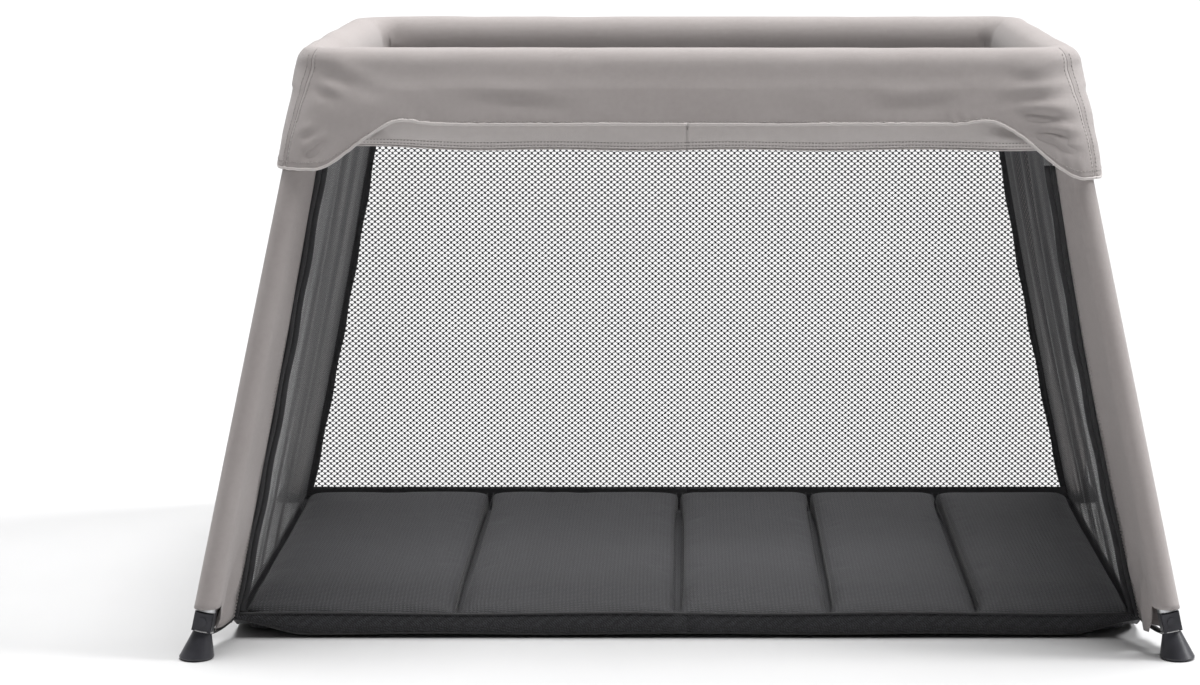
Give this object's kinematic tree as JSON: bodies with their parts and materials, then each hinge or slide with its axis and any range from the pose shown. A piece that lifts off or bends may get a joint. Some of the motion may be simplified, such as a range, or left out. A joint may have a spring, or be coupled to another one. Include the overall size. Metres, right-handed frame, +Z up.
{
  "type": "folding playpen",
  "caption": "Rectangular folding playpen: padded top rail, splayed legs, net sides and a foldable floor mattress.",
  "frame": {"origin": "on the floor, under the middle of the playpen", "axes": "+X along the length, to the right seen from the front; +Y across the depth, away from the front; +Z up"},
  "size_m": [1.114, 0.812, 0.66],
  "materials": {
    "hinge_plastic": "matte",
    "button_plastic": "satin",
    "steel": "satin",
    "aluminium": "satin",
    "shell_fabric": "matte",
    "net": "matte",
    "piping": "matte",
    "tray_fabric": "matte",
    "mattress_fabric": "matte",
    "webbing": "matte",
    "foot_plastic": "satin"
  },
  "bodies": {
    "hinges": {"near_hinge_housing": "hinge_plastic", "far_hinge_housing": "hinge_plastic", "near_hinge_pins": "steel", "far_hinge_pins": "steel", "near_button_spring": "steel", "far_button_spring": "steel", "near_middle_cover": "shell_fabric", "far_middle_cover": "shell_fabric", "near_net": "net", "far_net": "net", "near_valance": "shell_fabric", "far_valance": "shell_fabric", "corner_piping": "piping", "floor_tray": "tray_fabric"},
    "near_button": {"near_release_button": "button_plastic"},
    "far_button": {"far_release_button": "button_plastic"},
    "left_half": {"left_rail_tube": "aluminium", "left_hinge_tongues": "hinge_plastic", "left_rail_cover": "shell_fabric", "left_leg_pins": "steel", "left_end_net": "net", "left_end_valance": "shell_fabric", "left_foot_straps": "webbing", "near_left_corner_bracket": "hinge_plastic", "far_left_corner_bracket": "hinge_plastic"},
    "right_half": {"right_rail_tube": "aluminium", "right_hinge_tongues": "hinge_plastic", "right_rail_cover": "shell_fabric", "right_leg_pins": "steel", "right_end_net": "net", "right_end_valance": "shell_fabric", "right_foot_straps": "webbing", "near_right_corner_bracket": "hinge_plastic", "far_right_corner_bracket": "hinge_plastic"},
    "near_left_leg": {"near_left_leg_head": "hinge_plastic", "near_left_leg_tube": "aluminium", "near_left_leg_sleeve": "shell_fabric", "near_left_foot": "foot_plastic", "near_left_foot_plate": "foot_plastic"},
    "near_right_leg": {"near_right_leg_head": "hinge_plastic", "near_right_leg_tube": "aluminium", "near_right_leg_sleeve": "shell_fabric", "near_right_foot": "foot_plastic", "near_right_foot_plate": "foot_plastic"},
    "far_left_leg": {"far_left_leg_head": "hinge_plastic", "far_left_leg_tube": "aluminium", "far_left_leg_sleeve": "shell_fabric", "far_left_foot": "foot_plastic", "far_left_foot_plate": "foot_plastic"},
    "far_right_leg": {"far_right_leg_head": "hinge_plastic", "far_right_leg_tube": "aluminium", "far_right_leg_sleeve": "shell_fabric", "far_right_foot": "foot_plastic", "far_right_foot_plate": "foot_plastic"},
    "mattress_1": {"mattress_panel_1": "mattress_fabric"},
    "mattress_2": {"mattress_panel_2": "mattress_fabric"},
    "mattress_3": {"mattress_panel_3": "mattress_fabric"},
    "mattress_4": {"mattress_panel_4": "mattress_fabric"},
    "mattress_5": {"mattress_panel_5": "mattress_fabric"}
  },
  "joints": [
    {"name": "left_fold", "type": "hinge", "parent": "hinges", "child": "left_half", "pos_m": [-0.04, 0, 0.6295], "axis": [0, 1, 0], "range_deg": [0, 90], "deforming": ["near_net", "far_net", "near_valance", "far_valance", "corner_piping", "floor_tray", "near_middle_cover", "far_middle_cover", "left_end_net", "left_end_valance", "left_foot_straps"]},
    {"name": "right_fold", "type": "hinge", "parent": "hinges", "child": "right_half", "pos_m": [0.04, 0, 0.6295], "axis": [0, -1, 0], "range_deg": [0, 90], "deforming": ["right_end_net", "right_end_valance", "right_foot_straps"]},
    {"name": "near_left_leg_fold", "type": "hinge", "parent": "left_half", "child": "near_left_leg", "pos_m": [-0.424, -0.2915, 0.555], "axis": [0, -0.9855, 0.1696], "range_deg": [0, 101.4], "deforming": ["near_left_leg_sleeve"]},
    {"name": "near_right_leg_fold", "type": "hinge", "parent": "right_half", "child": "near_right_leg", "pos_m": [0.424, -0.2915, 0.555], "axis": [0, 0.9855, -0.1696], "range_deg": [0, 101.4], "deforming": ["near_right_leg_sleeve"]},
    {"name": "far_left_leg_fold", "type": "hinge", "parent": "left_half", "child": "far_left_leg", "pos_m": [-0.424, 0.2915, 0.555], "axis": [0, -0.9855, -0.1696], "range_deg": [0, 101.4], "deforming": ["far_left_leg_sleeve"]},
    {"name": "far_right_leg_fold", "type": "hinge", "parent": "right_half", "child": "far_right_leg", "pos_m": [0.424, 0.2915, 0.555], "axis": [0, 0.9855, 0.1696], "range_deg": [0, 101.4], "deforming": ["far_right_leg_sleeve"]},
    {"name": "near_button_press", "type": "slide", "parent": "hinges", "child": "near_button", "axis": [0, 0, 1], "range_m": [0, 0.003], "stiffness_N_per_m": 400, "springref_m": -0.003, "deforming": ["near_button_spring"]},
    {"name": "far_button_press", "type": "slide", "parent": "hinges", "child": "far_button", "axis": [0, 0, 1], "range_m": [0, 0.003], "stiffness_N_per_m": 400, "springref_m": -0.003, "deforming": ["far_button_spring"]},
    {"name": "mattress_lift", "type": "slide", "parent": "hinges", "child": "mattress_2", "axis": [0, 0, 1], "range_m": [0, 0.045]},
    {"name": "crease_1", "type": "hinge", "parent": "mattress_2", "child": "mattress_1", "pos_m": [-0.25903, 0, 0.036], "axis": [0, 1, 0], "range_deg": [0, 90]},
    {"name": "crease_2", "type": "hinge", "parent": "mattress_2", "child": "mattress_3", "pos_m": [-0.01004, 0, 0.036], "axis": [0, -1, 0], "range_deg": [0, 90]},
    {"name": "crease_3", "type": "hinge", "parent": "mattress_3", "child": "mattress_4", "pos_m": [0.16064, 0, 0.036], "axis": [0, -1, 0], "range_deg": [0, 90]},
    {"name": "crease_4", "type": "hinge", "parent": "mattress_4", "child": "mattress_5", "pos_m": [0.3273, 0, 0.036], "axis": [0, -1, 0], "range_deg": [0, 75]}
  ],
  "couplings": [
    {"joint": "right_fold", "follows": "left_fold", "ratio": 1},
    {"joint": "near_left_leg_fold", "follows": "left_fold", "ratio": 1.1267},
    {"joint": "near_right_leg_fold", "follows": "left_fold", "ratio": 1.1267},
    {"joint": "far_left_leg_fold", "follows": "left_fold", "ratio": 1.1267},
    {"joint": "far_right_leg_fold", "follows": "left_fold", "ratio": 1.1267}
  ]
}
